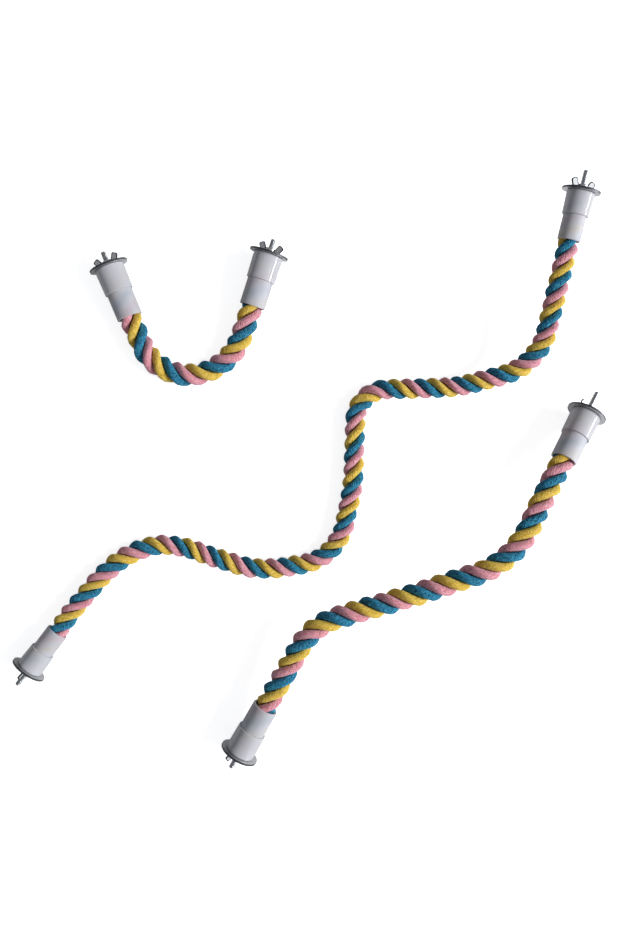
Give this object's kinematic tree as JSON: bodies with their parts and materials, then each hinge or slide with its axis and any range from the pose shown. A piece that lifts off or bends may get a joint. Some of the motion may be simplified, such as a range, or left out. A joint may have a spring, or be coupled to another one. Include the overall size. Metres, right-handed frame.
{
  "type": "rope bird perch set",
  "caption": "Bendable cotton rope perches for a bird cage in a short, a medium and a long form, with capped ends that clamp to the bars with washers and wing nuts.",
  "frame": {"origin": "middle of the footprint of the set as it lies on a table, at the table's height", "axes": "+Z up from the table; +X to the right and +Y up in the picture taken from above"},
  "size_m": [0.5857, 0.5782, 0.0799],
  "materials": {
    "pink_cotton": "matte, loosely spun cotton yarn",
    "yellow_cotton": "matte, loosely spun cotton yarn",
    "blue_cotton": "matte, loosely spun cotton yarn",
    "wire_steel": "drawn, galvanised",
    "sleeve_plastic": "translucent milky, smooth",
    "cap_plastic": "milky white, moulded, smooth",
    "washer_steel": "stamped, zinc plated, dull",
    "bolt_steel": "rolled thread, zinc plated",
    "nut_steel": "stamped, zinc plated, bright"
  },
  "bodies": {
    "long_low_part": {"long_pink_low": "pink_cotton", "long_blue_low": "blue_cotton", "long_yellow_low": "yellow_cotton", "long_wire": "wire_steel", "long_low_sleeve": "sleeve_plastic", "long_low_cap": "cap_plastic", "long_low_bolt": "bolt_steel", "long_low_inner_washer": "washer_steel"},
    "long_low_outer_washer_body": {"long_low_outer_washer": "washer_steel"},
    "long_low_wing_nut_body": {"long_low_wing_nut": "nut_steel"},
    "long_top_part": {"long_pink_top": "pink_cotton", "long_blue_top": "blue_cotton", "long_yellow_top": "yellow_cotton", "long_top_sleeve": "sleeve_plastic", "long_top_cap": "cap_plastic", "long_top_bolt": "bolt_steel", "long_top_inner_washer": "washer_steel"},
    "long_top_outer_washer_body": {"long_top_outer_washer": "washer_steel"},
    "long_top_wing_nut_body": {"long_top_wing_nut": "nut_steel"},
    "short_left_part": {"short_pink_left": "pink_cotton", "short_yellow_left": "yellow_cotton", "short_blue_left": "blue_cotton", "short_wire": "wire_steel", "short_left_sleeve": "sleeve_plastic", "short_left_cap": "cap_plastic", "short_left_bolt": "bolt_steel", "short_left_inner_washer": "washer_steel"},
    "short_left_outer_washer_body": {"short_left_outer_washer": "washer_steel"},
    "short_left_wing_nut_body": {"short_left_wing_nut": "nut_steel"},
    "short_right_part": {"short_pink_right": "pink_cotton", "short_yellow_right": "yellow_cotton", "short_blue_right": "blue_cotton", "short_right_sleeve": "sleeve_plastic", "short_right_cap": "cap_plastic", "short_right_bolt": "bolt_steel", "short_right_inner_washer": "washer_steel"},
    "short_right_outer_washer_body": {"short_right_outer_washer": "washer_steel"},
    "short_right_wing_nut_body": {"short_right_wing_nut": "nut_steel"},
    "medium_low_part": {"medium_pink_low": "pink_cotton", "medium_yellow_low": "yellow_cotton", "medium_blue_low": "blue_cotton", "medium_low_sleeve": "sleeve_plastic", "medium_low_cap": "cap_plastic", "medium_low_bolt": "bolt_steel", "medium_low_inner_washer": "washer_steel"},
    "medium_low_outer_washer_body": {"medium_low_outer_washer": "washer_steel"},
    "medium_low_wing_nut_body": {"medium_low_wing_nut": "nut_steel"},
    "medium_top_part": {"medium_pink_top": "pink_cotton", "medium_yellow_top": "yellow_cotton", "medium_blue_top": "blue_cotton", "medium_wire": "wire_steel", "medium_top_sleeve": "sleeve_plastic", "medium_top_cap": "cap_plastic", "medium_top_bolt": "bolt_steel", "medium_top_inner_washer": "washer_steel"},
    "medium_top_outer_washer_body": {"medium_top_outer_washer": "washer_steel"},
    "medium_top_wing_nut_body": {"medium_top_wing_nut": "nut_steel"}
  },
  "joints": [
    {"name": "long_low_washer_slide", "type": "slide", "parent": "long_low_part", "child": "long_low_outer_washer_body", "axis": [-0.5996, -0.7984, 0.0546], "range_m": [0, 0.008]},
    {"name": "long_low_nut_spin", "type": "hinge", "parent": "long_low_outer_washer_body", "child": "long_low_wing_nut_body", "pos_m": [-0.27712, -0.18963, 0.01814], "axis": [-0.5996, -0.7984, 0.0546], "range_deg": [0, 3600]},
    {"name": "long_top_washer_slide", "type": "slide", "parent": "long_top_part", "child": "long_top_outer_washer_body", "axis": [0.21, 0.9648, 0.1583], "range_m": [0, 0.008]},
    {"name": "long_top_nut_spin", "type": "hinge", "parent": "long_top_outer_washer_body", "child": "long_top_wing_nut_body", "pos_m": [0.25638, 0.26937, 0.06174], "axis": [0.21, 0.9648, 0.1583], "range_deg": [0, 3600]},
    {"name": "short_left_washer_slide", "type": "slide", "parent": "short_left_part", "child": "short_left_outer_washer_body", "axis": [-0.3755, 0.9233, 0.0813], "range_m": [0, 0.008]},
    {"name": "short_left_nut_spin", "type": "hinge", "parent": "short_left_outer_washer_body", "child": "short_left_wing_nut_body", "pos_m": [-0.19762, 0.20837, 0.01974], "axis": [-0.3755, 0.9233, 0.0813], "range_deg": [0, 3600]},
    {"name": "short_right_washer_slide", "type": "slide", "parent": "short_right_part", "child": "short_right_outer_washer_body", "axis": [0.3129, 0.9468, 0.0748], "range_m": [0, 0.008]},
    {"name": "short_right_nut_spin", "type": "hinge", "parent": "short_right_outer_washer_body", "child": "short_right_wing_nut_body", "pos_m": [-0.03962, 0.22037, 0.01974], "axis": [0.3129, 0.9468, 0.0748], "range_deg": [0, 3600]},
    {"name": "medium_low_washer_slide", "type": "slide", "parent": "medium_low_part", "child": "medium_low_outer_washer_body", "axis": [-0.4862, -0.867, -0.1088], "range_m": [0, 0.008]},
    {"name": "medium_low_nut_spin", "type": "hinge", "parent": "medium_low_outer_washer_body", "child": "medium_low_wing_nut_body", "pos_m": [-0.06812, -0.27163, 0.01974], "axis": [-0.4862, -0.867, -0.1088], "range_deg": [0, 3600]},
    {"name": "medium_top_washer_slide", "type": "slide", "parent": "medium_top_part", "child": "medium_top_outer_washer_body", "axis": [0.4905, 0.8451, -0.2127], "range_m": [0, 0.008]},
    {"name": "medium_top_nut_spin", "type": "hinge", "parent": "medium_top_outer_washer_body", "child": "medium_top_wing_nut_body", "pos_m": [0.27488, 0.06237, 0.01974], "axis": [0.4905, 0.8451, -0.2127], "range_deg": [0, 3600]},
    {"name": "long_bend", "type": "hinge", "parent": "long_low_part", "child": "long_top_part", "pos_m": [0.05557, 0.07984, 0.01015], "axis": [0, 0, 1], "range_deg": [-15, 40], "deforming": ["long_pink_low", "long_blue_low", "long_yellow_low", "long_wire", "long_pink_top", "long_blue_top", "long_yellow_top"]},
    {"name": "short_bend", "type": "hinge", "parent": "short_left_part", "child": "short_right_part", "pos_m": [-0.12039, 0.10387, 0.01054], "axis": [0, 0, 1], "range_deg": [-40, 40], "deforming": ["short_pink_left", "short_yellow_left", "short_blue_left", "short_wire", "short_pink_right", "short_yellow_right", "short_blue_right"]},
    {"name": "medium_bend", "type": "hinge", "parent": "medium_top_part", "child": "medium_low_part", "pos_m": [0.00627, -0.14761, 0.03569], "axis": [0, 0, 1], "range_deg": [-40, 60], "deforming": ["medium_pink_low", "medium_yellow_low", "medium_blue_low", "medium_pink_top", "medium_yellow_top", "medium_blue_top", "medium_wire"]},
    {"name": "short_lift", "type": "slide", "parent": "long_low_part", "child": "short_left_part", "axis": [0, 0, 1], "range_m": [0, 0.3]},
    {"name": "medium_lift", "type": "slide", "parent": "long_low_part", "child": "medium_top_part", "axis": [0, 0, 1], "range_m": [0, 0.3]}
  ],
  "couplings": [
    {"joint": "long_low_washer_slide", "follows": "long_low_nut_spin", "m_per_rad": 0.00012732},
    {"joint": "long_top_washer_slide", "follows": "long_top_nut_spin", "m_per_rad": 0.00012732},
    {"joint": "short_left_washer_slide", "follows": "short_left_nut_spin", "m_per_rad": 0.00012732},
    {"joint": "short_right_washer_slide", "follows": "short_right_nut_spin", "m_per_rad": 0.00012732},
    {"joint": "medium_low_washer_slide", "follows": "medium_low_nut_spin", "m_per_rad": 0.00012732},
    {"joint": "medium_top_washer_slide", "follows": "medium_top_nut_spin", "m_per_rad": 0.00012732}
  ]
}
